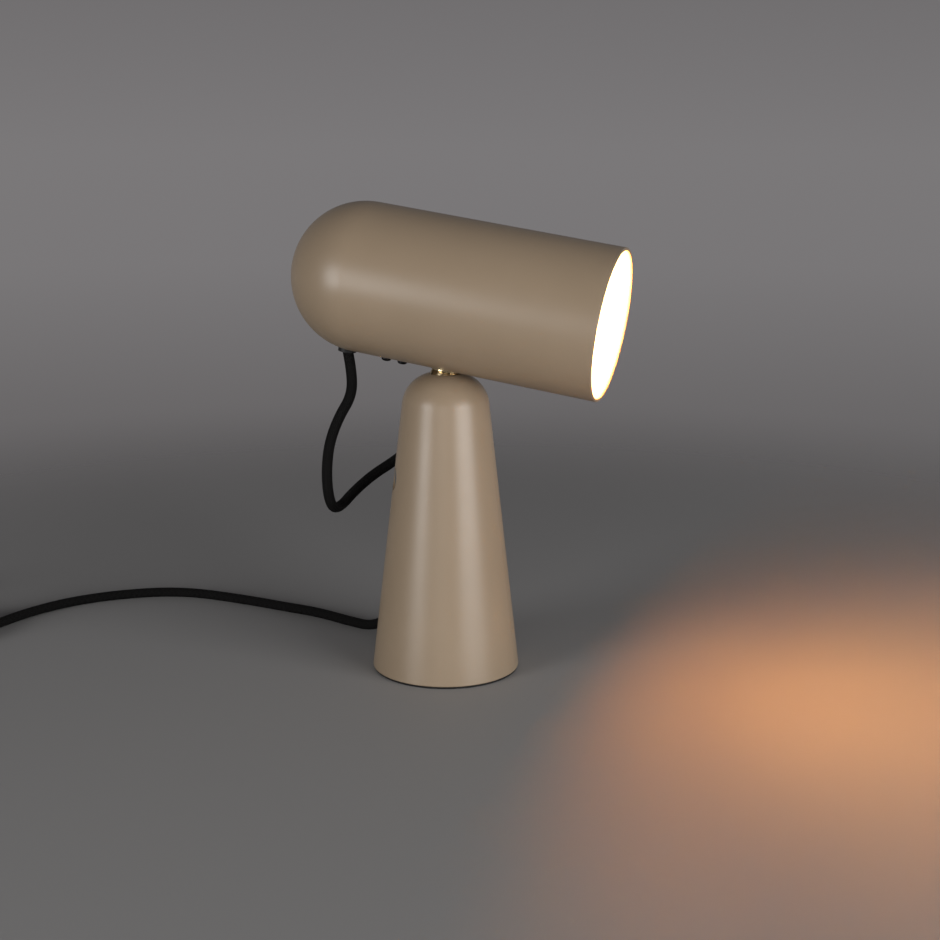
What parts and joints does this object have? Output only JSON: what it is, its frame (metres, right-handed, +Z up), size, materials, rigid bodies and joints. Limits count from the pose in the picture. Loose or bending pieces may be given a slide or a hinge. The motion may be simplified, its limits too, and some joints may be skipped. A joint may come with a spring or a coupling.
{
  "type": "table_lamp",
  "caption": "Tabletop searchlight lamp: round shade with a domed back on a ball swivel, cone-shaped weighted stem, hanging lead loop, push-button switch and mains cord with plug",
  "frame": {"origin": "centre of the foot on the table", "axes": "+Z up along the stem's axis; +X the way the shade points at rest; +Y level, along the tilt axis"},
  "size_m": [0.5905, 0.213, 0.3308],
  "materials": {
    "paint": "satin taupe powder coat",
    "rubber": "matt black",
    "zinc": "zinc plated",
    "iron": "raw casting",
    "turned_aluminium": "turned",
    "polished_steel": "fine turned",
    "brass": "polished",
    "black_plastic": "satin black",
    "button_grey": "satin dark grey",
    "black_steel": "black oxide",
    "ceramic": "unglazed white",
    "cap_metal": "nickel plated",
    "lit_glass": "opal, lit",
    "wire": "grey sheath",
    "black_textile": "braided black textile over two cores"
  },
  "bodies": {
    "stem": {"stem_shell": "paint", "foot_pad": "rubber", "base_plate": "zinc", "base_screws": "zinc", "ballast_weight": "iron", "bearing_housing": "turned_aluminium", "centre_tube": "zinc", "lead_bush": "black_plastic", "lead_bush_nut": "black_plastic", "mains_bush": "black_plastic", "mains_bush_nut": "black_plastic", "switch_housing": "black_plastic", "switch_nut": "zinc", "terminal_block": "ceramic", "inner_wires": "wire", "head_lead_lower": "black_textile", "mains_cord": "black_textile", "mains_coil": "black_textile", "cord_tie": "black_plastic", "plug_body": "black_plastic", "plug_pins": "cap_metal"},
    "swivel": {"swivel_tongue": "polished_steel", "disc_springs": "polished_steel", "spring_washer": "zinc", "swivel_nut": "zinc"},
    "head": {"swivel_ball": "brass", "hinge_pin": "polished_steel", "saddle_washer": "brass", "saddle_plate": "zinc", "ball_screws": "zinc", "shade_shell": "paint", "shade_bush": "black_plastic", "shade_bush_nut": "black_plastic", "holder_bracket": "zinc", "bracket_screws": "black_steel", "bracket_nuts": "zinc", "holder_nipple": "zinc", "nipple_nut": "zinc", "holder_cap": "black_plastic", "holder_skirt": "black_plastic", "holder_insert": "ceramic", "bulb_cap": "cap_metal", "bulb_contact": "cap_metal", "bulb_glass": "lit_glass", "head_wires": "wire", "head_lead_upper": "black_textile"},
    "button": {"switch_button": "button_grey"}
  },
  "joints": [
    {"name": "pan", "type": "hinge", "parent": "stem", "child": "swivel", "pos_m": [0, 0, 0.18], "axis": [0, 0, 1], "range_deg": [-160, 80], "deforming": ["head_lead_lower"]},
    {"name": "tilt", "type": "hinge", "parent": "swivel", "child": "head", "pos_m": [0, 0, 0.20903], "axis": [0, 1, 0], "range_deg": [-20, 2.5], "deforming": ["head_lead_upper"]},
    {"name": "button_press", "type": "slide", "parent": "stem", "child": "button", "axis": [0.9135, 0.4067, 0], "range_m": [0, 0.002], "stiffness_N_per_m": 800}
  ]
}
